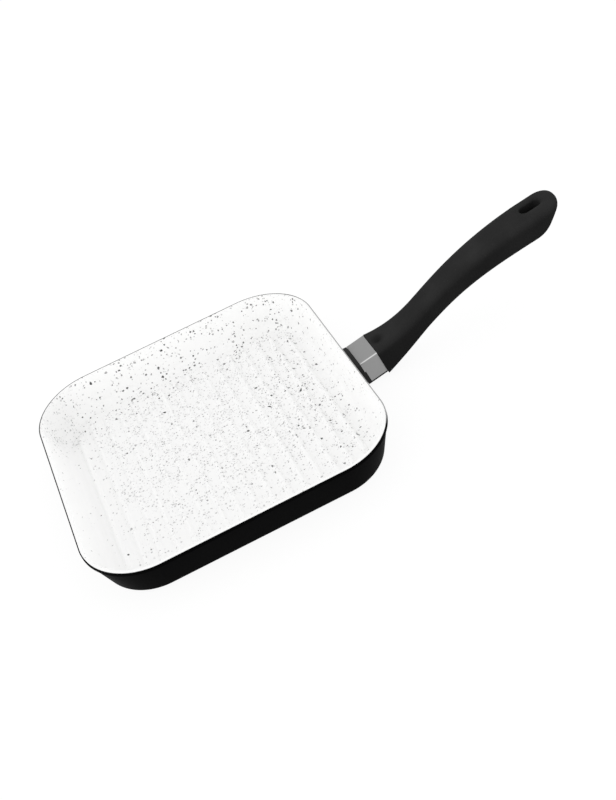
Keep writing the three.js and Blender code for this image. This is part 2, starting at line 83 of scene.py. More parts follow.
# Lining: where the speckles fade in, from and to, and their share at both ends
FLOOR_SHIFT = 5.0 * MM
FLOOR_FADE, FLOOR_SHARE = (116 * MM, 88 * MM), (0.15, 1.0)
FRONT_FADE, FRONT_SHARE = (-118 * MM, -30 * MM), (0.2, 1.0)
LEFT_FADE, LEFT_SHARE = (-118 * MM, -40 * MM), (0.3, 1.0)
COARSE_FADE, COARSE_SHARE = (-90 * MM, -20 * MM), (0.1, 1.0)
BACK_FADE = (70 * MM, 114 * MM)
RIGHT_FADE, RIGHT_WALL_FADE, RIGHT_SHARE = (40 * MM, 100 * MM), (127 * MM, 110 * MM), 0.55
EDGE_SHARE = (0.07, 1.15)
CLOUD_SHARE = (0.4, 1.6)
CROWD_SCALE, CROWD_FADE, CROWD_SHARE = 110.0, (0.36, 0.62), (0.3, 1.5)
FAR_CORNER = (-113 * MM, 100 * MM, 26 * MM)
FAR_FADE, FAR_SHARE = (50 * MM, 20 * MM), 0.8
# Painted shade in the far left corner: where it fades in, and how dark it makes the lining
FAR_PAINTED_SHADE_FADE, FAR_PAINTED_SHADE = (40 * MM, 10 * MM), 0.94

# Speckle layers: cell, radius in cells, where they lie, share of the cells, tint
SPECKLES = (
    (1.7 * MM, 0.42, "fine", 0.55, "speckle_faint"),
    (2.4 * MM, 0.41, "fine", 0.72, "speckle_light"),
    (3.0 * MM, 0.29, "fine", 0.20, "speckle_middle"),
    (3.0 * MM, 0.31, "dark", 0.44, "speckle_dark"),
    (4.2 * MM, 0.32, "coarse", 0.33, "speckle_dark"),
    (8.0 * MM, 0.20, "coarse", 0.80, "speckle_dark"),
)

# Unevenness of single specks, and of the slow clouds in every grain
CLOUD_SCALE = 28.0
SPECK_RAGGED, SPECK_REACH = 2.2, 0.45
SPECK_SIZES, SPECK_DEPTHS, SPECK_CORE = (0.4, 1.15), (0.5, 1.0), 0.7

# Coatings, plastic and steel
LINING_GRAIN = dict(size=0.9 * MM, roughness=0.42, spread=0.06, depth=0.02 * MM)
EXTERIOR_GRAIN = dict(size=0.5 * MM, roughness=0.5, spread=0.1, depth=0.06 * MM)
LUG_GRAIN = dict(size=0.7 * MM, roughness=0.55, spread=0.1, depth=0.06 * MM)
GRIP_GRAIN = dict(size=0.45 * MM, roughness=0.6, spread=0.07, depth=0.1 * MM)
LINING_SPECULAR, EXTERIOR_SPECULAR, LUG_SPECULAR, GRIP_SPECULAR = 0.3, 0.006, 0.02, 0.015
COATING_CLOUDS, COATING_LIFT = (0.4, 0.7), 1.5
GRIP_CLOUDS, GRIP_LIFT = (0.35, 0.7), 1.35
# How dark the painted shade makes the grip's sides and thumb dip
GRIP_SIDE_SHADE_TONE = 0.5
BRUSH_TONES = (0.92, 1.08)
# How much brighter the painted highlight on the guard's bends is
BEND_HIGHLIGHT_TONE = 2.4
BRUSH_ROUGHNESS = 0.16
BRUSH_DEPTH = 0.01 * MM
GUARD_BRUSH = (160, 2600, 2600)
FASTENER_BRUSH = (900, 900, 900)

# Floor grid: columns follow the ribs, rows crowd where the ribs end
COLUMN_STEP = 0.57 * MM
ARC_COLUMNS = 64
ROWS_FROM_EDGE = np.array(
    [0, 1.6, 3.0, 4.0, 4.7, 5.3, 5.9, 6.5, 7.1, 7.7, 8.3, 8.9, 9.5, 10.2, 11.2, 13, 18, 36]
) * MM
MIDDLE_ROWS = (-0.5, 0.0, 0.5)

# Handle, in millimetres: built along +X from the middle of the flame guard's front face
FIT = 0.3
GUARD_LENGTH = 16.8
GRIP_FRONT = GUARD_LENGTH + 2 * FIT
TONGUE_END = GUARD_LENGTH + FIT + 14.0
SCREW_SEAT = GRIP_FRONT + 22.0
PATH_STEPS = 2000
GRIP_RUN_OUT = 61.0
GRIP_CREST = (66.6, 33.4)
GRIP_FRONT_SECTION = (32.6, 26.8, 3.0, 1.35)
GRIP_NECK_CORNER = 6.0
GRIP_TAIL_CORNER = 8.5
GRIP_NECK_AT = 51.0
GRIP_TAIL_AT = 172.5
NECK_EASE = 1.7
TIP_LENGTH = 34.0
TIP_SLANT = 23.0
TIP_BULGE = 1.7
TIP_EDGE = 8.6
TIP_ROUND = 14.2
TIP_SQUARENESS = 2.33
TIP_LEAD, TIP_LEAD_STEPS = 4.0, 5
TIP_TURN, TIP_TURN_STEPS = math.radians(86), 22
FRONT_ROUND = 0.4
FRONT_ROUND_STEPS = 5
DIP_STATIONS = np.arange(1.5, 16, 0.8)
BODY_STATIONS_FROM, BODY_STATION_STEP, BODY_STATIONS_SHORT = 17, 1.4, 6
HOLE_FROM_TIP = 26.0
HOLE_HALF = (9.0, 4.75)
HOLE_LEAN = math.radians(20)
HOLE_LIP = 2.4
HOLE_LIP_STEPS = 8
HOLE_TURN_STEPS = 25
HOLE_SINK = 0.06
HOLE_BEYOND = 3.0
SOCKET = (18.6, 13.6, 2.3)
BORE_RADIUS = 2.8
POCKET_RADIUS = 5.8
POCKET_LENGTH = 55.0
DIP_FROM_FRONT = 7.0
DIP_RADIUS = 6.8
# Painted light on the grip: lighter as faces turn up, with painted shade on the sides and in the
# thumb dip
TOP_LIGHT_FADE = (0.15, 0.75)
SIDE_PAINTED_LIGHT = 0.58
DIP_SHADE = 0.85
DIP_SHADE_REACH = 1.1
CUTTER_OVERLAP = 1.0

# Guard's bends: their centre in millimetres, and in degrees their middle and where their painted
# highlight fades
GUARD_BEND_CENTRE = (13.2, 10.3)
GUARD_BEND_MIDDLE = 45
GUARD_HIGHLIGHT_FADE = (24, 8)

# Edges of the pieces kept from the solids, in millimetres
LUG_EDGE = 0.35
GUARD_EDGE = 0.2
FASTENER_EDGE = 0.12
EDGE_SEGMENTS = 3

# What counts as a sharp edge or a flat face, in degrees, and as the same point, in metres
SOFT_CREASE = 40
PLAIN_CREASE = 35
GRIP_CREASE = 38
FLAT_WITHIN = 0.5
SAME_POINT = 1e-6
SAME_RING_POINT = 1e-7

# Stage
WHITE = (1.0, 1.0, 1.0, 1.0)
FLOOR_HALF, FLOOR_DROP = 4.0, -0.4 * MM
FLOOR_COLOUR, FLOOR_GLOW = (0.1, 0.1, 0.1, 1.0), 0.92
SKY_FADE = (0.55, 0.05)
LAMP_SIZE, LAMP_PLACE, LAMP_AIM = 1.1, (-0.9, 0.4, 0.85), (0.05, 0.0, 0.0)
SENSOR_WIDTH = 36.0
CLIP_START, CLIP_END = 0.01, 50.0


def metres(label, words, value):
    """A length that a user may change, in metres."""
    return FloatProperty(
        name=label, description=words, default=value, min=0, unit="LENGTH", precision=4
    )


def millimetres(label, words, value):
    """A length that a user may change, given in millimetres."""
    return metres(label, words, value * MM)


def turn(label, words, value):
    """An angle that a user may change, given in degrees."""
    angle = math.radians(value)
    return FloatProperty(name=label, description=words, default=angle, subtype="ANGLE")


def tint(label, words, value):
    """A colour that a user may change, in linear light."""
    return FloatVectorProperty(
        name=label, description=words, default=value, size=3, min=0, max=1, subtype="COLOR"
    )


def amount(label, words, value, unit="NONE"):
    """A strength, power or focal length that a user may change."""
    return FloatProperty(name=label, description=words, default=value, min=0, unit=unit)


class PanSizes(bpy.types.PropertyGroup):
    """Sizes of the pan and its lining"""

    rim_side: metres("Rim side", "Width of the square rim, outside", BODY_HIGH.x - BODY_LOW.x)
    rim_height: metres("Rim height", "Height of the lining's lip above the base", LINING_HIGH.z)
    bare_edge: metres("Bare edge", "Width of the dark rim left bare", BODY_HIGH.x - LINING_HIGH.x)
    corner_radius: millimetres("Corner radius", "Radius of the rim's corners, outside", 54)
    draft: turn("Draft", "Lean of the walls from upright", 17)


class RibSizes(bpy.types.PropertyGroup):
    """Sizes of the grill ribs"""

    pitch: millimetres("Pitch", "Distance from rib to rib", 13.7)
    count: IntProperty(name="Count", description="Number of ribs", default=16, min=1, max=60)
    height: millimetres("Height", "Height of a rib above the floor", 2.2)
    top_half: millimetres("Top half width", "Half the width of a rib's crown", 0.7)
    foot_half: millimetres("Foot half width", "Half the width of a rib at its foot", 3.5)
    end_margin: millimetres("End margin", "Clear floor beyond a rib's end", 7)


class HandleSizes(bpy.types.PropertyGroup):
    """Sizes and place of the handle"""

    from_rim: millimetres("Guard from rim", "Distance from the rim's side to the guard", 8.4)
    below_rim: millimetres("Guard below rim", "Depth of the guard's middle below the rim", 21.7)
    tilt: turn("Tilt", "Upward tilt of the handle at the guard", 11.2)
    length: millimetres("Grip length", "Reach of the grip along its axis", 197.7)
    rise: millimetres("Grip rise", "Rise of the grip's end above its axis", 21.1)
    neck_width: millimetres("Neck width", "Width of the grip at its narrowest", 25.8)
    neck_thickness: millimetres("Neck thickness", "Thickness of the grip at its narrowest", 19.5)
    tail_width: millimetres("Tail width", "Width of the grip at its tail", 33.3)
    tail_thickness: millimetres("Tail thickness", "Thickness of the grip at its tail", 25.8)
    dip_depth: millimetres("Dip depth", "Depth of the thumb dip behind the guard", 2)


class Finishes(bpy.types.PropertyGroup):
    """Colours of the finishes"""

    exterior: tint("Exterior", "Black coating outside", (0.0022, 0.0022, 0.0023))
    # Colour of the painted highlight along the rim's edge
    rim_highlight: tint("Rim highlight", "Painted highlight along the rim's edge", (0.42, 0.42, 0.42))
    lining: tint("Lining", "Non-stick lining", (0.95, 0.95, 0.946))
    speckle_faint: tint("Faint speckle", "Finest pale grey speckle", (0.64, 0.64, 0.64))
    speckle_light: tint("Light speckle", "Fine grey speckle", (0.46, 0.46, 0.46))
    speckle_middle: tint("Middle speckle", "Fine dark grey speckle", (0.2, 0.2, 0.2))
    speckle_dark: tint("Dark speckle", "Coarse dark speckle", (0.028, 0.028, 0.029))
    lug: tint("Lug", "Black coating of the lug", (0.037, 0.037, 0.037))
    guard: tint("Guard", "Satin steel of the flame guard", (0.30, 0.30, 0.30))
    grip: tint("Grip", "Soft black of the grip", (0.0215, 0.0215, 0.0215))
    steel: tint("Fasteners", "Steel of screw, washers and insert", (0.46, 0.47, 0.48))


class StageSettings(bpy.types.PropertyGroup):
    """Camera and light"""

    azimuth: turn("Azimuth", "Direction of the camera round the pan", -8.4488)
    elevation: turn("Elevation", "Height of the camera above the horizon", 40.0277)
    roll: turn("Roll", "Turn of the camera about its axis", -20.8333)
    lens: amount("Lens", "Focal length in millimetres", 52.4039, "CAMERA")
    place: FloatVectorProperty(
        name="Place",
        description="Where the camera stands",
        default=(-0.023775, -0.747227, 0.638333),
        size=3,
        subtype="XYZ",
        unit="LENGTH",
    )
    sky: amount("Sky", "Strength of the soft light from above", 0.945)
    horizon: amount("Horizon", "Strength of the soft light from low down", 1.58)
    key: amount("Key", "Power of the large lamp in watts", 0.75, "POWER")


class GrillPanSettings(bpy.types.PropertyGroup):
    """Everything that can be changed on the grill pan"""

    pan: PointerProperty(type=PanSizes)
    ribs: PointerProperty(type=RibSizes)
    handle: PointerProperty(type=HandleSizes)
    finishes: PointerProperty(type=Finishes)
    stage: PointerProperty(type=StageSettings)


def settings():
    return bpy.context.scene.grill_pan


# Node trees


def add_node(tree, kind, inputs=None, **options):
    """Adds a node; an input is a value, or a socket that it is linked to."""
    made = tree.nodes.new(kind)
    for key, value in options.items():
        setattr(made, key, value)
    for key, value in (inputs or {}).items():
        if isinstance(value, bpy.types.NodeSocket):
            tree.links.new(value, made.inputs[key])
        else:
            made.inputs[key].default_value = value
    return made


def math_socket(tree, operation, *values):
    """The result of one arithmetic step."""
    return add_node(tree, "ShaderNodeMath", dict(enumerate(values)), operation=operation).outputs[0]


def smooth_socket(tree, value, start, end):
    """Rises smoothly from 0 at start to 1 at end."""
    ease = {"Value": value, "From Min": start, "From Max": end}
    return add_node(tree, "ShaderNodeMapRange", ease, interpolation_type="SMOOTHSTEP").outputs[0]


def mixed_socket(tree, share, low, high):
    """A colour between two colours."""
    made = add_node(tree, "ShaderNodeMix", {0: share, 6: low, 7: high}, data_type="RGBA")
    return made.outputs[2]


def between(tree, share, low, high):
    """A number between two numbers."""
    return math_socket(tree, "MULTIPLY_ADD", share, high - low, low)


def noise_socket(tree, place, scale, detail, output=0):
    """A noise over the surface."""
    inputs = {"Vector": place, "Scale": scale, "Detail": detail}
    return add_node(tree, "ShaderNodeTexNoise", inputs).outputs[output]


def object_place(tree):
    """The place on the piece, in metres."""
    return add_node(tree, "ShaderNodeTexCoord").outputs["Object"]


def opaque(colour):
    return (*colour, 1.0)


def new_group(name, kind, inputs, outputs):
    """An empty node group with named sockets, and its two end nodes."""
    tree = bpy.data.node_groups.new(name, kind)
    for label, socket, value in inputs:
        made = tree.interface.new_socket(label, in_out="INPUT", socket_type=socket)
        if value is not None:
            made.default_value = value
    for label, socket in outputs:
        tree.interface.new_socket(label, in_out="OUTPUT", socket_type=socket)
    return tree, tree.nodes.new("NodeGroupInput"), tree.nodes.new("NodeGroupOutput")


def grain_group():
    """Fine moulded or sprayed grain: a height for bump and a roughness that wanders a little."""
    found = bpy.data.node_groups.get("Fine grain")
    if found:
        return found
    number = "NodeSocketFloat"
    inputs = [
        ("Grain Size", number, 0.6 * MM),
        ("Roughness", number, 0.5),
        ("Roughness Spread", number, 0.08),
    ]
    outputs = [("Height", number), ("Roughness", number), ("Cloud", number)]
    tree, start, end = new_group("Fine grain", "ShaderNodeTree", inputs, outputs)
    asked, place = start.outputs, object_place(tree)
    scale = math_socket(tree, "DIVIDE", 1.0, asked["Grain Size"])
    fine = noise_socket(tree, place, scale, 3.0)
    cloud = noise_socket(tree, place, CLOUD_SCALE, 4.0)
    wander = math_socket(tree, "MULTIPLY_ADD", cloud, 2.0, -1.0)
    spread, middle = asked["Roughness Spread"], asked["Roughness"]
    rough = math_socket(tree, "MULTIPLY_ADD", wander, spread, middle)
    tree.links.new(fine, end.inputs["Height"])
    tree.links.new(rough, end.inputs["Roughness"])
    tree.links.new(cloud, end.inputs["Cloud"])
    return tree


def brush_group():
    """Fine brush lines, drawn out along one direction by the stretch."""
    found = bpy.data.node_groups.get("Brush lines")
    if found:
        return found
    inputs = [("Stretch", "NodeSocketVector", FASTENER_BRUSH)]
    outputs = [("Lines", "NodeSocketFloat")]
    tree, start, end = new_group("Brush lines", "ShaderNodeTree", inputs, outputs)
    drawing = {"Vector": object_place(tree), "Scale": start.outputs["Stretch"]}
    drawn = add_node(tree, "ShaderNodeMapping", drawing).outputs[0]
    tree.links.new(noise_socket(tree, drawn, 1.0, 3.0), end.inputs["Lines"])
    return tree


def speckle_group():
    """Uneven specks of one size, scattered at random over a share of the cells."""
    found = bpy.data.node_groups.get("Speckles")
    if found:
        return found
    inputs = [
        ("Vector", "NodeSocketVector", None),
        ("Cell", "NodeSocketFloat", 3.0 * MM),
        ("Radius", "NodeSocketFloat", 0.2),
        ("Share", "NodeSocketFloat", 0.5),
    ]
    outputs = [("Mask", "NodeSocketFloat")]
    tree, start, end = new_group("Speckles", "ShaderNodeTree", inputs, outputs)
    asked, place = start.outputs, start.outputs["Vector"]
    step = partial(math_socket, tree)
    scale = step("DIVIDE", 1.0, asked["Cell"])
    ragged = noise_socket(tree, place, step("MULTIPLY", scale, SPECK_RAGGED), 1.0, "Color")
    shift = {0: ragged, 1: step("MULTIPLY", asked["Cell"], SPECK_REACH), 2: place}
    moved = add_node(tree, "ShaderNodeVectorMath", shift, operation="MULTIPLY_ADD").outputs[0]
    cells = add_node(tree, "ShaderNodeTexVoronoi", {"Vector": moved, "Scale": scale}).outputs
    dice = add_node(tree, "ShaderNodeSeparateColor", {0: cells["Color"]}).outputs
    radius = step("MULTIPLY", between(tree, dice[1], *SPECK_SIZES), asked["Radius"])
    spot = smooth_socket(tree, cells["Distance"], radius, step("MULTIPLY", radius, SPECK_CORE))
    chosen = step("LESS_THAN", dice[0], asked["Share"])
    depth = between(tree, dice[2], *SPECK_DEPTHS)
    tree.links.new(step("MULTIPLY", spot, step("MULTIPLY", chosen, depth)), end.inputs["Mask"])
    return tree


def new_material(name, colour, specular):
    """A material with a plain Principled shader, its node tree and the shader."""
    material = bpy.data.materials.new(name)
    material.use_nodes = True
    material.diffuse_color = opaque(colour)
    shader = material.node_tree.nodes["Principled BSDF"]
    shader.inputs["Base Color"].default_value = opaque(colour)
    shader.inputs["Specular IOR Level"].default_value = specular
    return material, material.node_tree, shader


def add_grain(tree, shader, size, roughness, spread, depth):
    """Puts the fine grain on a material: bump and roughness. Returns its slow cloud."""
    inputs = {"Grain Size": size, "Roughness": roughness, "Roughness Spread": spread}
    grain = add_node(tree, "ShaderNodeGroup", inputs, node_tree=grain_group()).outputs
    bump = add_node(tree, "ShaderNodeBump", {"Height": grain["Height"], "Distance": depth})
    tree.links.new(bump.outputs["Normal"], shader.inputs["Normal"])
    tree.links.new(grain["Roughness"], shader.inputs["Roughness"])
    return grain["Cloud"]


def black_coating(name, colour, specular, grain, clouds=COATING_CLOUDS, lift=COATING_LIFT):
    """Black coating or plastic, a little lighter in soft clouds."""
    material, tree, shader = new_material(name, colour, specular)
    cloud = smooth_socket(tree, add_grain(tree, shader, **grain), *clouds)
    lighter = [value * lift for value in colour]
    shade = mixed_socket(tree, cloud, opaque(colour), opaque(lighter))
    tree.links.new(shade, shader.inputs["Base Color"])
    return material


def repaint(material, mask, low=None, high=None):
    """Mixes a second colour into a material's own by a mask; the end left out is its own."""
    tree = material.node_tree
    paint = tree.nodes["Principled BSDF"].inputs["Base Color"]
    own = paint.links[0].from_socket
    low = own if low is None else opaque(low)
    high = own if high is None else opaque(high)
    tree.links.new(mixed_socket(tree, mask, low, high), paint)


def lining_material():
    """White non-stick lining: fine grey specks on the floor, darker ones at the back, and a painted
    shade in the far left corner.
    """
    tints = settings().finishes
    material, tree, shader = new_material("speckled_lining", tints.lining, LINING_SPECULAR)
    cloud = add_grain(tree, shader, **LINING_GRAIN)
    place = object_place(tree)
    parts = add_node(tree, "ShaderNodeSeparateXYZ", {0: place}).outputs
    x, y = parts["X"], parts["Y"]
    step = partial(math_socket, tree)

    def fade(value, edges):
        return smooth_socket(tree, value, *edges)

    def shared(value, edges, shares):
        return between(tree, fade(value, edges), *shares)

    aside = step("ABSOLUTE", step("SUBTRACT", x, FLOOR_SHIFT))
    from_middle = step("MAXIMUM", aside, step("ABSOLUTE", y))
    crowd = noise_socket(tree, place, CROWD_SCALE, 2.0)
    off_front = shared(y, FRONT_FADE, FRONT_SHARE)
    patchy = step("MULTIPLY", off_front, between(tree, cloud, *CLOUD_SHARE))
    patchy = step("MULTIPLY", patchy, shared(crowd, CROWD_FADE, CROWD_SHARE))
    fine = step("MULTIPLY", patchy, shared(from_middle, FLOOR_FADE, FLOOR_SHARE))
    fine = step("MULTIPLY", fine, shared(x, LEFT_FADE, LEFT_SHARE))
    gap = add_node(tree, "ShaderNodeVectorMath", {0: place, 1: FAR_CORNER}, operation="DISTANCE")
    away = gap.outputs["Value"]
    in_corner = step("MULTIPLY", patchy, fade(away, FAR_FADE))
    fine = step("MAXIMUM", fine, step("MULTIPLY", in_corner, FAR_SHARE))
    at_right = step("MULTIPLY", fade(x, RIGHT_FADE), fade(x, RIGHT_WALL_FADE))
    at_edge = step("MAXIMUM", fade(y, BACK_FADE), step("MULTIPLY", at_right, RIGHT_SHARE))
    dark = step("MULTIPLY", patchy, between(tree, at_edge, *EDGE_SHARE))
    coarse = step("MULTIPLY", dark, shared(x, COARSE_FADE, COARSE_SHARE))
    spreads = {"fine": fine, "dark": dark, "coarse": coarse}
    # A painted shade darkens the lining in the far left corner
    shade = [value * FAR_PAINTED_SHADE for value in tints.lining]
    colour = mixed_socket(tree, fade(away, FAR_PAINTED_SHADE_FADE), opaque(tints.lining), opaque(shade))
    for cell, radius, where, share, tone in SPECKLES:
        chance = step("MULTIPLY", spreads[where], share)
        inputs = {"Vector": place, "Cell": cell, "Radius": radius, "Share": chance}
        specks = add_node(tree, "ShaderNodeGroup", inputs, node_tree=speckle_group())
        colour = mixed_socket(tree, specks.outputs["Mask"], colour, opaque(getattr(tints, tone)))
    tree.links.new(colour, shader.inputs["Base Color"])
    return material


def steel_material(name, colour, roughness, stretch):
    """Satin steel with fine brush lines, and a painted highlight on bends that a piece marks."""
    material, tree, shader = new_material(name, colour, specular=0.5)
    shader.inputs["Metallic"].default_value = 1.0
    brush = add_node(tree, "ShaderNodeGroup", {"Stretch": stretch}, node_tree=brush_group())
    lines = brush.outputs["Lines"]
    darker, brighter = ([value * tone for value in colour] for tone in BRUSH_TONES)
    brushed = mixed_socket(tree, lines, opaque(darker), opaque(brighter))
    tree.links.new(brushed, shader.inputs["Base Color"])
    # Painted highlight on the bends that the mesh marks
    bend_highlight = add_node(tree, "ShaderNodeAttribute", attribute_name="bend_highlight").outputs["Fac"]
    repaint(material, bend_highlight, high=[min(1.0, value * BEND_HIGHLIGHT_TONE) for value in colour])
    smoothest = roughness - BRUSH_ROUGHNESS / 2
    rough = math_socket(tree, "MULTIPLY_ADD", lines, BRUSH_ROUGHNESS, smoothest)
    tree.links.new(rough, shader.inputs["Roughness"])
    bump = add_node(tree, "ShaderNodeBump", {"Height": lines, "Distance": BRUSH_DEPTH})
    tree.links.new(bump.outputs["Normal"], shader.inputs["Normal"])
    return material


# Meshes


def linked(name, data):
    """A new object in the scene."""
    made = bpy.data.objects.new(name, data)
    bpy.context.scene.collection.objects.link(made)
    return made


def mesh_object(name, points, faces):
    """An object at the origin with its place in its mesh, in metres."""
    mesh = bpy.data.meshes.new(name)
    mesh.from_pydata([tuple(point) for point in points], [], faces)
    return linked(name, mesh)


@contextmanager
def edited(mesh, source=None):
    """Opens a mesh, or the source that it is made from, for editing and writes it back."""
    body = bmesh.new()
    body.from_mesh(source or mesh)
    yield body
    body.to_mesh(mesh)
    body.free()


def mark(made, name, values):
    """Keeps one number per point, for a material or for nodes."""
    attribute = made.data.attributes.new(name, "FLOAT", "POINT")
    attribute.data.foreach_set("value", values.astype(np.float32))


def ramp(values, start, end):
    """Rises evenly from 0 at start to 1 at end."""
    return np.clip((values - start) / (end - start), 0, 1)


def quarter_round(radius, count):
    """Points round a quarter circle: the way along it and the way still left across it."""
    angles = np.linspace(0, math.pi / 2, count)
    return [(radius * (1 - math.cos(a)), radius * (1 - math.sin(a))) for a in angles]


def applied(made):
    """The object with its modifiers turned into a plain mesh."""
    graph = bpy.context.evaluated_depsgraph_get()
    mesh = bpy.data.meshes.new_from_object(made.evaluated_get(graph))
    made.modifiers.clear()
    old = made.data
    made.data = mesh
    mesh.name = made.name
    bpy.data.meshes.remove(old)
    return made


def smoothed(made, crease=PLAIN_CREASE):
    """Smooth faces, with edges sharper than the crease angle left sharp."""
    limit = math.radians(crease)
    with edited(made.data) as body:
        for edge in body.edges:
            edge.smooth = len(edge.link_faces) == 2 and edge.calc_face_angle() < limit
        for face in body.faces:
            face.smooth = True
    return made


def merged(made):
    """Joins points that lie on each other and turns all faces outwards."""
    with edited(made.data) as body:
        bmesh.ops.remove_doubles(body, verts=body.verts, dist=SAME_RING_POINT)
        bmesh.ops.dissolve_degenerate(body, edges=body.edges, dist=SAME_RING_POINT)
        bmesh.ops.recalc_face_normals(body, faces=body.faces)
    return made


def finish_piece(made, slot, *nodes, material=None):
    """Gives a piece its material, its body and the nodes that it stands for."""
    if material:
        made.data.materials.clear()
        made.data.materials.append(material)
    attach(made, "root")
    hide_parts(*nodes)
    if not made.data.polygons:
        raise RuntimeError(f"{made.name} came out empty")
    return made


def cut(made, *cutters):
    """Takes other closed shapes out of an object and deletes them."""
    for cutter in cutters:
        step = made.modifiers.new("Cut", "BOOLEAN")
        step.operation = "DIFFERENCE"
        step.solver = "EXACT"
        step.object = cutter
    applied(made)
    for cutter in cutters:
        mesh = cutter.data
        bpy.data.objects.remove(cutter)
        bpy.data.meshes.remove(mesh)
    return made


# Pan: a floor grid whose outline is carried up the walls, offset square to itself


class FloorPlan:
    """A grid over the square floor with rounded corners."""

    def __init__(self, half, centre):
        arc = np.linspace(0, math.pi / 2, ARC_COLUMNS + 1)
        side = centre + (half - centre) * np.sin(arc)
        reach = centre + (half - centre) * np.cos(arc)
        count = int(round(2 * centre / COLUMN_STEP))
        middle = np.linspace(-centre, centre, count + 1)[1:-1]
        self.half = half
        self.xs = np.concatenate([-side[::-1], middle, side])
        edge = np.concatenate([reach[::-1], np.full(len(middle), half), reach])
        upper = [edge - row for row in ROWS_FROM_EDGE]
        inner = upper[-1]
        rows = [-row for row in upper] + [inner * share for share in MIDDLE_ROWS] + upper[::-1]
        self.ys = np.array(rows)
        self.columns = len(self.xs)
        self.rows = len(rows)
        self.rim = self._rim()
        across = np.tile(self.xs, self.rows)[self.rim]
        along = self.ys.ravel()[self.rim]
        self.outline = np.stack([across, along], 1)
        away = np.sign(self.outline) * np.maximum(np.abs(self.outline) - centre, 0)
        self.outward = away / np.linalg.norm(away, axis=1)[:, None]

    def _rim(self):
        """Grid numbers round the edge, counter-clockwise from above."""
        columns, last = self.columns, (self.rows - 1) * self.columns
        front = list(range(columns))
        right = list(range(2 * columns - 1, last + columns, columns))
        back = list(range(last + columns - 2, last - 1, -1))
        left = list(range(last - columns, 0, -columns))
        return front + right + back + left

    def grid(self, z):
        across = np.tile(self.xs, self.rows)
        return np.stack([across, self.ys.ravel(), np.full(self.ys.size, z)], 1)

    def quads(self, first, upward):
        found = []
        for row in range(self.rows - 1):
            for column in range(self.columns - 1):
                here = first + row * self.columns + column
                above = here + self.columns
                quad = (here, here + 1, above + 1, above)
                found.append(quad if upward else quad[::-1])
        return found

    def ring(self, half, z):
        flat = self.outline + self.outward * (half - self.half)
        return np.column_stack([flat, np.full(len(flat), z)])


def basin(name, plan, floor_z, rings, under_z=None):
    """A floor, the rings of its walls, and a flat base or a second floor underneath."""
    parts = [plan.grid(floor_z)]
    faces = plan.quads(0, True)
    previous = np.array(plan.rim)
    first = len(parts[0])
    loops = [plan.ring(half, z) for half, z in rings]
    for loop in loops:
        parts.append(loop)
        current = first + np.arange(len(loop))
        faces += sweep_quads(previous, current)
        previous = current
        first += len(loop)
    floors = [np.ones(len(parts[0])), np.zeros(first - len(parts[0]))]
    if under_z is None:
        faces.append(tuple(int(number) for number in previous[::-1]))
    else:
        parts.append(plan.grid(under_z))
        faces += sweep_quads(previous, first + np.array(plan.rim))
        faces += plan.quads(first, False)
        floors.append(np.ones(len(parts[-1])))
    made = mesh_object(name, np.concatenate(parts), faces)
    mark(made, "on_floor", np.concatenate(floors))
    return made


def sweep_quads(previous, current):
    """Faces between two closed loops of the same length."""
    ahead, beyond = np.roll(previous, -1), np.roll(current, -1)
    return [tuple(int(n) for n in quad) for quad in zip(previous, current, beyond, ahead)]


def wall_lines():
    """The wall's half width at a height, for a layer's offset inwards, and its upper edge."""
    sizes = settings().pan
    slope = math.tan(sizes.draft)
    edge_z = sizes.rim_height - LINING_BED - RIM_ROUND

    def half_at(z, offset):
        return sizes.rim_side / 2 - offset / math.cos(sizes.draft) - (edge_z - z) * slope

    return half_at, edge_z


def fillet_rings(half_at, offset, floor_z, radius):
    """The round from a floor up into the wall."""
    draft = settings().pan.draft
    centre_z = floor_z + radius
    centre = half_at(centre_z, offset) - radius / math.cos(draft)
    angles = np.linspace(math.pi / 2, draft, FILLET_STEPS + 1)
    return [(centre + radius * math.cos(a), centre_z - radius * math.sin(a)) for a in angles]


def lip_rings(half_at, offset, top_z, radius):
    """The round from the inside of the wall over to a flat top."""
    draft = settings().pan.draft
    centre_z = top_z - radius
    centre = half_at(centre_z, offset) + radius / math.cos(draft)
    angles = np.linspace(draft, math.pi / 2, ROUND_STEPS + 1)
    return [(centre - radius * math.cos(a), centre_z + radius * math.sin(a)) for a in angles]


def edge_rings(half, top_z, radius):
    """The round from a flat top down to an upright outer face."""
    centre, centre_z = half - radius, top_z - radius
    angles = np.linspace(0, math.pi / 2, ROUND_STEPS + 1)
    return [(centre + radius * math.sin(a), centre_z + radius * math.cos(a)) for a in angles]


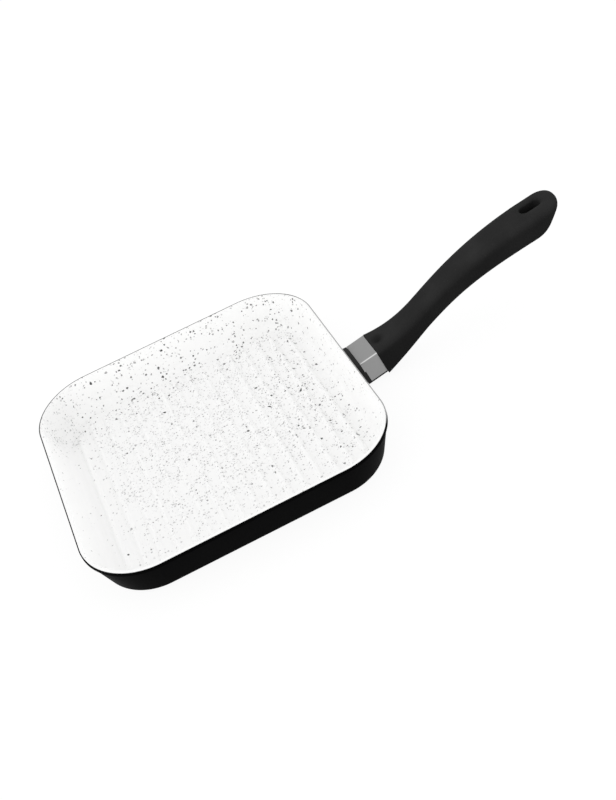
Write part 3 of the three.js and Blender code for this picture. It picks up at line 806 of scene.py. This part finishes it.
def rib_tree():
    """Geometry nodes that raise ribs out of a floor, each as long as the round floor lets it be."""
    found = bpy.data.node_groups.get("Grill ribs")
    if found:
        return found
    sizes, number = settings().ribs, "NodeSocketFloat"
    inputs = [
        ("Geometry", "NodeSocketGeometry", None),
        ("Pitch", number, sizes.pitch),
        ("Count", "NodeSocketInt", sizes.count),
        ("Height", number, sizes.height),
        ("Top Half Width", number, sizes.top_half),
        ("Foot Half Width", number, sizes.foot_half),
        ("End Margin", number, sizes.end_margin),
        ("Corner Centre", number, corner_centre()),
        ("Corner Radius", number, settings().pan.corner_radius),
        ("Material", "NodeSocketMaterial", None),
    ]
    outputs = [("Geometry", "NodeSocketGeometry")]
    tree, start, end = new_group("Grill ribs", "GeometryNodeTree", inputs, outputs)
    asked, place = start.outputs, add_node(tree, "GeometryNodeInputPosition").outputs[0]
    parts = add_node(tree, "ShaderNodeSeparateXYZ", {0: place}).outputs
    x, y = parts["X"], parts["Y"]
    step = partial(math_socket, tree)
    last = step("SUBTRACT", asked["Count"], 1.0)
    half_count = step("MULTIPLY", last, 0.5)
    nearest = step("ROUND", step("ADD", step("DIVIDE", x, asked["Pitch"]), half_count))
    nearest = step("MINIMUM", step("MAXIMUM", nearest, 0.0), last)
    rib_x = step("MULTIPLY", step("SUBTRACT", nearest, half_count), asked["Pitch"])
    centre, foot = asked["Corner Centre"], asked["Foot Half Width"]
    beyond = step("MAXIMUM", step("SUBTRACT", step("ABSOLUTE", rib_x), centre), 0.0)
    corner_square = step("POWER", asked["Corner Radius"], 2.0)
    round_off = step("SUBTRACT", corner_square, step("POWER", beyond, 2.0))
    reach = step("ADD", centre, step("SQRT", step("MAXIMUM", round_off, 0.0)))
    straight = step("SUBTRACT", step("SUBTRACT", reach, asked["End Margin"]), foot)
    past_end = step("MAXIMUM", step("SUBTRACT", step("ABSOLUTE", y), straight), 0.0)
    aside = step("SUBTRACT", x, rib_x)
    aside_square = step("POWER", step("ABSOLUTE", aside), 2.0)
    away = step("SQRT", step("ADD", aside_square, step("POWER", past_end, 2.0)))
    rise = smooth_socket(tree, away, foot, asked["Top Half Width"])
    known = {"Name": "on_floor"}
    floor = add_node(tree, "GeometryNodeInputNamedAttribute", known, data_type="FLOAT").outputs[0]
    lift = step("MULTIPLY", step("MULTIPLY", rise, asked["Height"]), floor)
    shift = add_node(tree, "ShaderNodeCombineXYZ", {"Z": lift}).outputs[0]
    moving = {"Geometry": asked["Geometry"], "Offset": shift}
    raised = add_node(tree, "GeometryNodeSetPosition", moving).outputs[0]
    real = add_node(tree, "GeometryNodeRealizeInstances", {0: raised}).outputs[0]
    dressed = add_node(tree, "GeometryNodeSetMaterial", {0: real, "Material": asked["Material"]})
    tree.links.new(dressed.outputs[0], end.inputs[0])
    return tree


def with_ribs(made, plan, material):
    """Runs the rib nodes on a floor and keeps the result as a plain mesh."""
    sizes = settings().ribs
    centre = corner_centre()
    values = {
        "Pitch": sizes.pitch,
        "Count": sizes.count,
        "Height": sizes.height,
        "Top Half Width": sizes.top_half,
        "Foot Half Width": sizes.foot_half,
        "End Margin": sizes.end_margin,
        "Corner Centre": centre,
        "Corner Radius": plan.half - centre,
        "Material": material,
    }
    step = made.modifiers.new("Ribs", "NODES")
    step.node_group = rib_tree()
    for socket in step.node_group.interface.items_tree:
        if socket.in_out == "INPUT" and socket.name in values:
            step[socket.identifier] = values[socket.name]
    applied(made)
    made.data.attributes.remove(made.data.attributes["on_floor"])
    return smoothed(made)


def corner_centre():
    return settings().pan.rim_side / 2 - settings().pan.corner_radius


def inner_plan():
    half_at, _ = wall_lines()
    floor_half = fillet_rings(half_at, WALL, FLOOR, FLOOR_FILLET)[0][0]
    return FloorPlan(floor_half, corner_centre())


class GRILLPAN_OT_shell(bpy.types.Operator):
    """Make the black pan with its ribbed floor"""

    bl_idname = "grill_pan.shell"
    bl_label = "Pan Shell"

    def execute(self, context):
        sizes = settings().pan
        half_at, edge_z = wall_lines()
        plan = inner_plan()
        half, top_z = sizes.rim_side / 2, edge_z + RIM_ROUND
        ledge_z, band_z = top_z - LINING_DEPTH, top_z - RIM_BAND
        bead = half - sizes.bare_edge + LINING_BED
        rings = fillet_rings(half_at, WALL, FLOOR, FLOOR_FILLET)[1:]
        rings += lip_rings(half_at, WALL, ledge_z, LEDGE_ROUND)
        rings += [(bead, ledge_z), (bead, top_z - BEAD_ROUND), (bead + BEAD_ROUND, top_z)]
        rings += edge_rings(half, top_z, BEAD_EDGE)
        rings += [(half, band_z + BAND_EDGE), (half - BAND_EDGE, band_z)]
        rings += [(half_at(band_z, 0.0), band_z)]
        rings += fillet_rings(half_at, 0.0, 0.0, BASE_FILLET)[::-1]
        made = basin("pan_shell", plan, FLOOR, rings)
        colour = settings().finishes.exterior
        material = black_coating("black_exterior", colour, EXTERIOR_SPECULAR, EXTERIOR_GRAIN)
        # A painted highlight along the rim's edge on the handle's side
        self.paint_rim_highlight(material, top_z)
        with_ribs(made, plan, material)
        finish_piece(made, "pan_exterior", "pan_body")
        return {"FINISHED"}

    @staticmethod
    def paint_rim_highlight(material, top_z):
        """Paints a pale highlight along the rim's edge on the handle's side."""
        tree = material.node_tree
        parts = add_node(tree, "ShaderNodeSeparateXYZ", {0: object_place(tree)}).outputs
        beside = smooth_socket(tree, parts["X"], *RIM_HIGHLIGHT_BESIDE)
        on_edge = smooth_socket(tree, parts["Z"], *(top_z - depth for depth in RIM_HIGHLIGHT_BELOW_TOP))
        highlighted = math_socket(tree, "MULTIPLY", beside, on_edge)
        repaint(material, highlighted, high=settings().finishes.rim_highlight)


class GRILLPAN_OT_lining(bpy.types.Operator):
    """Make the speckled non-stick lining with its lip over the rim"""

    bl_idname = "grill_pan.lining"
    bl_label = "Non-stick Lining"

    def execute(self, context):
        sizes = settings().pan
        half_at, _ = wall_lines()
        plan = inner_plan()
        layer = LINING_BED + LINING_DEPTH
        lip_half = sizes.rim_side / 2 - sizes.bare_edge
        lip_under = sizes.rim_height - LINING_DEPTH
        face = fillet_rings(half_at, WALL + layer, FLOOR + layer, FLOOR_FILLET - layer)[1:]
        lip = lip_rings(half_at, WALL + layer, sizes.rim_height, LIP_INNER_ROUND)
        edge = edge_rings(lip_half, sizes.rim_height, LIP_OUTER_ROUND)
        back = [(lip_half, lip_under), (half_at(lip_under, WALL + LINING_BED), lip_under)]
        bed_fillet = FLOOR_FILLET - LINING_BED
        back += fillet_rings(half_at, WALL + LINING_BED, FLOOR + LINING_BED, bed_fillet)[:0:-1]
        made = basin("lining", plan, FLOOR + layer, face + lip + edge + back, FLOOR + LINING_BED)
        with_ribs(made, plan, lining_material())
        finish_piece(made, "nonstick_coating", "nonstick_coating")
        return {"FINISHED"}


# Handle


def handle_place():
    """From the handle's own millimetres to the pan's frame in metres."""
    sizes, pan = settings().handle, settings().pan
    middle = Vector((pan.rim_side / 2 + sizes.from_rim, 0, pan.rim_height - sizes.below_rim))
    return Matrix.Translation(middle) @ Matrix.Rotation(-sizes.tilt, 4, "Y") @ Matrix.Scale(MM, 4)


def placed(points):
    """Handle points in millimetres, carried into the pan's frame."""
    matrix = np.array(handle_place())
    return np.asarray(points) @ matrix[:3, :3].T + matrix[:3, 3]


def handle_points(made):
    """A piece's points in the handle's own millimetres, and the way that each one faces."""
    back = np.array(handle_place().inverted())
    points = np.array([vertex.co for vertex in made.data.vertices])
    normals = np.array([vertex.normal for vertex in made.data.vertices])
    return points @ back[:3, :3].T + back[:3, 3], normals @ (back[:3, :3] * MM).T


def softened_copy(node, name, width):
    """A node's solid with its flat facets joined and its edges rounded."""
    mesh, flat = bpy.data.meshes.new(name), math.radians(FLAT_WITHIN)
    with edited(mesh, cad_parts[node].data) as body:
        bmesh.ops.remove_doubles(body, verts=body.verts, dist=SAME_POINT)
        bmesh.ops.dissolve_limit(body, angle_limit=flat, verts=body.verts, edges=body.edges)
    made = linked(name, mesh)
    step = made.modifiers.new("Edges", "BEVEL")
    step.width = width * MM
    step.segments = EDGE_SEGMENTS
    step.limit_method = "ANGLE"
    step.angle_limit = math.radians(SOFT_CREASE)
    step.use_clamp_overlap = True
    return smoothed(applied(made))


class GRILLPAN_OT_lug(bpy.types.Operator):
    """Make the black lug between the pan's wall and the handle"""

    bl_idname = "grill_pan.lug"
    bl_label = "Lug"

    def execute(self, context):
        made = softened_copy("handle_lug", "lug", LUG_EDGE)
        material = black_coating("black_lug", settings().finishes.lug, LUG_SPECULAR, LUG_GRAIN)
        finish_piece(made, "lug_coating", "handle_lug", material=material)
        return {"FINISHED"}


class GRILLPAN_OT_guard(bpy.types.Operator):
    """Make the bent steel flame guard"""

    bl_idname = "grill_pan.guard"
    bl_label = "Flame Guard"

    def execute(self, context):
        made = softened_copy("flame_guard", "guard", GUARD_EDGE)
        colour = settings().finishes.guard
        material = steel_material("satin_guard", colour, roughness=0.36, stretch=GUARD_BRUSH)
        self.mark_bends(made)
        finish_piece(made, "guard_steel", "flame_guard", material=material)
        return {"FINISHED"}

    @staticmethod
    def mark_bends(made):
        """Paints a highlight on the two bends, so that they stand out brighter than the flat sheet.
        """
        local, _ = handle_points(made)
        aside, up = np.abs(local[:, 1]) - GUARD_BEND_CENTRE[0], local[:, 2] - GUARD_BEND_CENTRE[1]
        off_middle = np.abs(np.degrees(np.arctan2(up, aside)) - GUARD_BEND_MIDDLE)
        mark(made, "bend_highlight", ramp(off_middle, *GUARD_HIGHLIGHT_FADE))


class Sweep:
    """The grip's S-curve: its place, direction and way up at a distance from the front."""

    def __init__(self):
        sizes = settings().handle
        length, rise = sizes.length / MM, sizes.rise / MM
        points = np.array(
            [
                (GRIP_FRONT, 0),
                (GRIP_FRONT + GRIP_RUN_OUT, 0),
                (GRIP_FRONT + GRIP_CREST[0], GRIP_CREST[1]),
                (GRIP_FRONT + length, rise),
            ]
        )
        t = np.linspace(0, 1, PATH_STEPS + 1)[:, None]
        weights = [(1 - t) ** 3, 3 * (1 - t) ** 2 * t, 3 * (1 - t) * t**2, t**3]
        self.path = sum(weight * point for weight, point in zip(weights, points))
        steps = np.linalg.norm(np.diff(self.path, axis=0), axis=1)
        self.gone = np.concatenate([[0], np.cumsum(steps)])
        self.length = self.gone[-1]
        self.slope = np.gradient(self.path, self.gone, axis=0)

    def frame(self, distance):
        place = [np.interp(distance, self.gone, self.path[:, axis]) for axis in (0, 1)]
        slope = np.array([np.interp(distance, self.gone, self.slope[:, axis]) for axis in (0, 1)])
        slope /= np.linalg.norm(slope)
        along = np.array((slope[0], 0, slope[1]))
        return np.array((place[0], 0, place[1])), along, np.array((-slope[1], 0, slope[0]))

    def section(self, distance):
        """Width, thickness, corner radius and drop: thinning to the neck, swelling to the tail."""
        sizes = settings().handle
        neck = (sizes.neck_width / MM, sizes.neck_thickness / MM, GRIP_NECK_CORNER, 0.0)
        tail = (sizes.tail_width / MM, sizes.tail_thickness / MM, GRIP_TAIL_CORNER, 0.0)
        if distance < GRIP_NECK_AT:
            share = (1 - max(distance, 0) / GRIP_NECK_AT) ** NECK_EASE
            return [n + (f - n) * share for n, f in zip(neck, GRIP_FRONT_SECTION)]
        gone = min((distance - GRIP_NECK_AT) / (GRIP_TAIL_AT - GRIP_NECK_AT), 1)
        share = gone**2 * (3 - 2 * gone)
        return [n + (t - n) * share for n, t in zip(neck, tail)]


def rounded_section(width, thickness, corner, turns=9, tops=18, sides=8):
    """Points round a rounded rectangle, counter-clockwise from the right side's top."""
    across, up = width / 2 - corner, thickness / 2 - corner
    flats = (tops, sides, tops, sides)
    signs = ((1, 1), (-1, 1), (-1, -1), (1, -1))
    points = []
    for quarter, (side, level) in enumerate(signs):
        angles = (quarter + np.linspace(0, 1, turns + 1)) * math.pi / 2
        bend = corner * np.stack([np.cos(angles), np.sin(angles)], 1)
        arc = np.array((side * across, level * up)) + bend
        points.append(arc)
        next_side, next_level = signs[(quarter + 1) % 4]
        begin, finish = arc[-1], np.array((next_side * across, next_level * up)) + bend[-1]
        shares = np.linspace(0, 1, flats[quarter] + 1)[1:-1, None]
        points.append(begin + (finish - begin) * shares)
    return np.concatenate(points)


def tube(name, rings, pinched=False):
    """A closed skin through rings of handle points; a pinched end closes itself as a seam."""
    count = len(rings[0])
    faces = []
    for row in range(len(rings) - 1):
        for column in range(count):
            here, ahead = row * count + column, row * count + (column + 1) % count
            faces.append((here, ahead, ahead + count, here + count))
    last = (len(rings) - 1) * count
    faces.append(tuple(range(count - 1, -1, -1)))
    if not pinched:
        faces.append(tuple(range(last, last + count)))
    return merged(mesh_object(name, placed(np.concatenate(rings)), faces))


def dipped(shape, distance):
    """Sinks the thumb dip into the top of a section of the grip."""
    depth = settings().handle.dip_depth / MM
    away = ((distance - DIP_FROM_FRONT) ** 2 + shape[:, 0] ** 2) / DIP_RADIUS**2
    sunk = depth * np.clip(1 - away, 0, 1) ** 2
    lowered = shape.copy()
    lowered[:, 1] -= np.where(shape[:, 1] > 0, sunk, 0)
    return lowered


def grip_rings(sweep):
    """Rings of the grip from its rounded front edge to the start of its tip."""
    rings = []
    body_end = sweep.length - TIP_LENGTH - BODY_STATIONS_SHORT
    body = np.arange(BODY_STATIONS_FROM, body_end, BODY_STATION_STEP)
    stations = quarter_round(FRONT_ROUND, FRONT_ROUND_STEPS)
    stations += [(distance, 0.0) for distance in np.concatenate([DIP_STATIONS, body])]
    for distance, inset in stations:
        place, _, up = sweep.frame(distance)
        width, thickness, corner, drop = sweep.section(distance)
        shape = rounded_section(width - 2 * inset, thickness - 2 * inset, corner - inset / 2)
        shape = dipped(shape, distance)
        rings.append(place + (shape[:, 1:] - drop) * up + shape[:, :1] * np.array((0, 1, 0)))
    return rings


def tip_rings(sweep):
    """The end: round seen from above, slanting back towards the underside."""
    tip_at = sweep.length - TIP_LENGTH
    place, along, up = sweep.frame(tip_at)
    width, thickness, corner, _ = sweep.section(tip_at)
    shape = rounded_section(width, thickness, corner)
    height = shape[:, 1]
    over = np.maximum(height - (thickness / 2 - TIP_EDGE), 0)
    rounding = TIP_EDGE - np.sqrt(TIP_EDGE**2 - over**2)
    fallen = (thickness / 2 - height) / thickness
    reach = TIP_LENGTH - TIP_SLANT * fallen + TIP_BULGE * np.sin(math.pi * fallen) - rounding
    begin = reach - TIP_ROUND
    power = 2 / TIP_SQUARENESS
    rings = []
    for share in np.linspace(0, 1, TIP_LEAD_STEPS, endpoint=False):
        rings.append((-TIP_LEAD + (begin + TIP_LEAD) * share, 1.0))
    for angle in np.linspace(0, TIP_TURN, TIP_TURN_STEPS):
        rings.append((begin + TIP_ROUND * math.sin(angle) ** power, math.cos(angle) ** power))
    rings.append((begin + TIP_ROUND, 0.0))
    made = []
    for forward, squeeze in rings:
        points = place + np.outer(forward, along) + np.outer(height, up)
        points[:, 1] += shape[:, 0] * squeeze
        made.append(points)
    return made


def hole_cutter(sweep):
    """The hanging hole, leaning with the slanted end and flared into round lips."""
    tip_at = sweep.length - TIP_LENGTH
    place, along, up = sweep.frame(tip_at)
    thickness = sweep.section(tip_at)[1]
    top = place + along * (TIP_LENGTH - HOLE_FROM_TIP) + up * thickness / 2
    side = np.array((0, 1, 0))
    half, radius = HOLE_HALF
    straight = half / math.cos(HOLE_LEAN) - radius
    flare = quarter_round(HOLE_LIP, HOLE_LIP_STEPS)
    flare.insert(0, (-HOLE_BEYOND, HOLE_LIP + HOLE_BEYOND))
    levels = [(HOLE_SINK - depth, grow) for depth, grow in flare]
    levels += [(depth - thickness - HOLE_SINK, grow) for depth, grow in flare[::-1]]
    half_turn = np.linspace(-90, 90, HOLE_TURN_STEPS)
    angles = np.radians(np.concatenate([half_turn, half_turn + 180]))
    ends = np.repeat([straight, -straight], HOLE_TURN_STEPS)
    rings = []
    for level, grow in levels[::-1]:
        forward = ends + (radius + grow) * np.cos(angles) + level * math.tan(HOLE_LEAN)
        aside = (radius + grow) * np.sin(angles)
        rings.append(top + level * up + np.outer(forward, along) + np.outer(aside, side))
    return tube("hole_cutter", rings)


def straight_cutter(name, outline, begin, finish):
    """A prism along the handle's axis from a section outline."""
    rings = [np.column_stack([np.full(len(outline), along), outline]) for along in (begin, finish)]
    return tube(name, rings)


def circle(radius, sides=48):
    angles = np.linspace(0, 2 * math.pi, sides, endpoint=False)
    return np.stack([radius * np.cos(angles), radius * np.sin(angles)], 1)


class GRILLPAN_OT_grip(bpy.types.Operator):
    """Make the S-curved grip with its hanging hole and screw pocket"""

    bl_idname = "grill_pan.grip"
    bl_label = "Grip"

    def execute(self, context):
        sweep = Sweep()
        made = tube("grip", grip_rings(sweep) + tip_rings(sweep), pinched=True)
        outlines = rounded_section(*SOCKET), circle(BORE_RADIUS), circle(POCKET_RADIUS)
        front, pocket_end = GRIP_FRONT - CUTTER_OVERLAP, SCREW_SEAT + POCKET_LENGTH
        socket = straight_cutter("socket", outlines[0], front, TONGUE_END + FIT)
        bore = straight_cutter("bore", outlines[1], TONGUE_END, SCREW_SEAT + CUTTER_OVERLAP)
        pocket = straight_cutter("pocket", outlines[2], SCREW_SEAT, pocket_end)
        cut(made, hole_cutter(sweep), socket, bore, pocket)
        smoothed(merged(made), GRIP_CREASE)
        self.paint_light_and_shade(made)
        finish_piece(made, "grip_plastic", "handle_grip", material=self.soft_black())
        return {"FINISHED"}

    @staticmethod
    def paint_light_and_shade(made):
        """Painted light on faces that turn up, and painted shade down the sides and in the thumb
        dip.
        """
        local, facing = handle_points(made)
        # Painted light: faces that turn up are lighter, and the sides get painted shade
        crown = ramp(facing[:, 2], *TOP_LIGHT_FADE)
        off_dip = np.hypot(local[:, 0] - GRIP_FRONT - DIP_FROM_FRONT, local[:, 1]) / DIP_RADIUS
        in_dip = DIP_SHADE * np.clip(DIP_SHADE_REACH - off_dip, 0, 1) * (facing[:, 2] > 0)
        mark(made, "painted_light", (SIDE_PAINTED_LIGHT + (1 - SIDE_PAINTED_LIGHT) * crown) * (1 - in_dip))

    @staticmethod
    def soft_black():
        """Soft matt plastic with a fine grain, with painted light on the top and painted shade on
        the sides and in the thumb dip.
        """
        colour, look = settings().finishes.grip, (GRIP_SPECULAR, GRIP_GRAIN, GRIP_CLOUDS, GRIP_LIFT)
        material = black_coating("soft_black_grip", colour, *look)
        attribute = add_node(material.node_tree, "ShaderNodeAttribute", attribute_name="painted_light")
        side_shade = [value * GRIP_SIDE_SHADE_TONE for value in colour]
        # Painted shade where the mark is low, the grip's own colour where it is high
        repaint(material, attribute.outputs["Fac"], low=side_shade)
        return material


class GRILLPAN_OT_fasteners(bpy.types.Operator):
    """Make the screw, its washers and the threaded insert"""

    bl_idname = "grill_pan.fasteners"
    bl_label = "Fasteners"

    def execute(self, context):
        colour = settings().finishes.steel
        material = steel_material("fastener_steel", colour, roughness=0.3, stretch=FASTENER_BRUSH)
        for node in ("handle_screw", "flat_washer", "spring_washer", "threaded_insert"):
            made = softened_copy(node, node + "_piece", FASTENER_EDGE)
            finish_piece(made, "fastener_steel", node, material=material)
        return {"FINISHED"}


# Stage


class GRILLPAN_OT_stage(bpy.types.Operator):
    """Set the pale floor, the soft light and the camera"""

    bl_idname = "grill_pan.stage"
    bl_label = "Stage"

    def execute(self, context):
        self.floor()
        self.light(context.scene)
        self.camera(context.scene)
        context.scene.view_settings.view_transform = "Standard"
        return {"FINISHED"}

    @staticmethod
    def seen_directly(tree):
        """1 for what the camera and gloss see or see through, 0 for light that falls on the pan."""
        path = tree.nodes.new("ShaderNodeLightPath").outputs
        seen = math_socket(tree, "MAXIMUM", path["Is Camera Ray"], path["Is Glossy Ray"])
        return math_socket(tree, "MAXIMUM", seen, path["Is Transmission Ray"])

    def floor(self):
        signs = ((-1, -1), (1, -1), (1, 1), (-1, 1))
        corners = [(x * FLOOR_HALF, y * FLOOR_HALF, FLOOR_DROP) for x, y in signs]
        made = mesh_object("floor", corners, [(0, 1, 2, 3)])
        material = bpy.data.materials.new("pale_floor")
        material.use_nodes = True
        tree = material.node_tree
        tree.nodes.clear()
        matt = add_node(tree, "ShaderNodeBsdfDiffuse", {"Color": FLOOR_COLOUR})
        glow = math_socket(tree, "MULTIPLY", self.seen_directly(tree), FLOOR_GLOW)
        lit = add_node(tree, "ShaderNodeEmission", {"Color": WHITE, "Strength": glow})
        both = add_node(tree, "ShaderNodeAddShader", {0: matt.outputs[0], 1: lit.outputs[0]})
        add_node(tree, "ShaderNodeOutputMaterial", {"Surface": both.outputs[0]})
        made.data.materials.append(material)

    def light(self, scene):
        world = bpy.data.worlds.new("studio")
        scene.world = world
        world.use_nodes = True
        tree = world.node_tree
        sky, horizon = settings().stage.sky, settings().stage.horizon
        way = add_node(tree, "ShaderNodeTexCoord").outputs["Generated"]
        height = add_node(tree, "ShaderNodeSeparateXYZ", {0: way}).outputs["Z"]
        soft = between(tree, smooth_socket(tree, height, *SKY_FADE), sky, horizon)
        short = math_socket(tree, "SUBTRACT", 1.0, soft)
        strength = math_socket(tree, "MULTIPLY_ADD", self.seen_directly(tree), short, soft)
        background = tree.nodes["Background"]
        background.inputs["Color"].default_value = WHITE
        tree.links.new(strength, background.inputs["Strength"])
        lamp = bpy.data.lights.new("key", "AREA")
        lamp.shape = "DISK"
        lamp.size = LAMP_SIZE
        lamp.energy = settings().stage.key
        made = linked("key", lamp)
        made.location = LAMP_PLACE
        aim = Vector(LAMP_AIM) - made.location
        made.rotation_euler = aim.to_track_quat("-Z", "Y").to_euler()

    @staticmethod
    def camera(scene):
        view = settings().stage
        flat, high = math.cos(view.elevation), math.sin(view.elevation)
        back = Vector((math.sin(view.azimuth) * flat, -math.cos(view.azimuth) * flat, high))
        level = (-back).cross(Vector((0, 0, 1))).normalized()
        upright = level.cross(-back)
        turned, lifted = math.cos(view.roll), math.sin(view.roll)
        right = level * turned + upright * lifted
        up = upright * turned - level * lifted
        data = bpy.data.cameras.new("camera")
        data.lens = view.lens
        data.sensor_width = SENSOR_WIDTH
        data.clip_start, data.clip_end = CLIP_START, CLIP_END
        made = linked("camera", data)
        matrix = Matrix((right, up, back)).transposed().to_4x4()
        made.matrix_world = Matrix.Translation(Vector(view.place)) @ matrix
        scene.camera = made


STEPS = (
    GRILLPAN_OT_stage,
    GRILLPAN_OT_shell,
    GRILLPAN_OT_lining,
    GRILLPAN_OT_lug,
    GRILLPAN_OT_guard,
    GRILLPAN_OT_grip,
    GRILLPAN_OT_fasteners,
)


class GRILLPAN_PT_panel(bpy.types.Panel):
    """Lists the pan's steps and settings"""

    bl_idname = "GRILLPAN_PT_panel"
    bl_label = "Grill Pan"
    bl_space_type = "VIEW_3D"
    bl_region_type = "UI"
    bl_category = "Grill Pan"

    def draw(self, context):
        for step in STEPS:
            self.layout.operator(step.bl_idname)
        everything = context.scene.grill_pan
        for name in ("pan", "ribs", "handle", "finishes", "stage"):
            box = self.layout.box()
            group = getattr(everything, name)
            for key in group.__annotations__:
                box.prop(group, key)


CLASSES = (
    PanSizes,
    RibSizes,
    HandleSizes,
    Finishes,
    StageSettings,
    GrillPanSettings,
    *STEPS,
    GRILLPAN_PT_panel,
)


def register():
    for each in CLASSES:
        bpy.utils.register_class(each)
    bpy.types.Scene.grill_pan = PointerProperty(type=GrillPanSettings)


def unregister():
    del bpy.types.Scene.grill_pan
    for each in reversed(CLASSES):
        bpy.utils.unregister_class(each)


def main():
    register()
    bpy.ops.grill_pan.stage()
    bpy.ops.grill_pan.shell()
    bpy.ops.grill_pan.lining()
    bpy.ops.grill_pan.lug()
    bpy.ops.grill_pan.guard()
    bpy.ops.grill_pan.grip()
    bpy.ops.grill_pan.fasteners()


if __name__ == "__main__":
    main()
